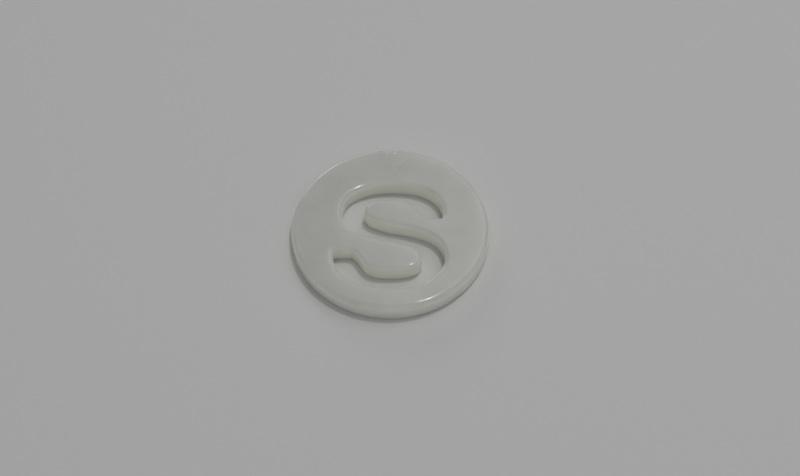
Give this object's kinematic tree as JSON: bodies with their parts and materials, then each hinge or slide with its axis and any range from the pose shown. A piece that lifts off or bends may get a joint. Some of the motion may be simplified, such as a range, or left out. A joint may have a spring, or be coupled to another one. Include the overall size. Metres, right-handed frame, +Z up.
{
  "type": "card table position button",
  "caption": "Flat round marker button of pale milky plastic with rounded edges and an S-shaped opening right through it, laid on a card table to mark a seat.",
  "frame": {"origin": "centre of the disc's flat underside, on the table it lies on", "axes": "+Z up through the disc's thickness, +Y towards the head of the S-shaped opening, +X to the right of the opening as it is read"},
  "size_m": [0.05, 0.05, 0.005],
  "materials": {
    "milky_plastic": "satin gloss, slightly translucent"
  },
  "bodies": {
    "root": {"button_disc": "milky_plastic"}
  },
  "joints": []
}
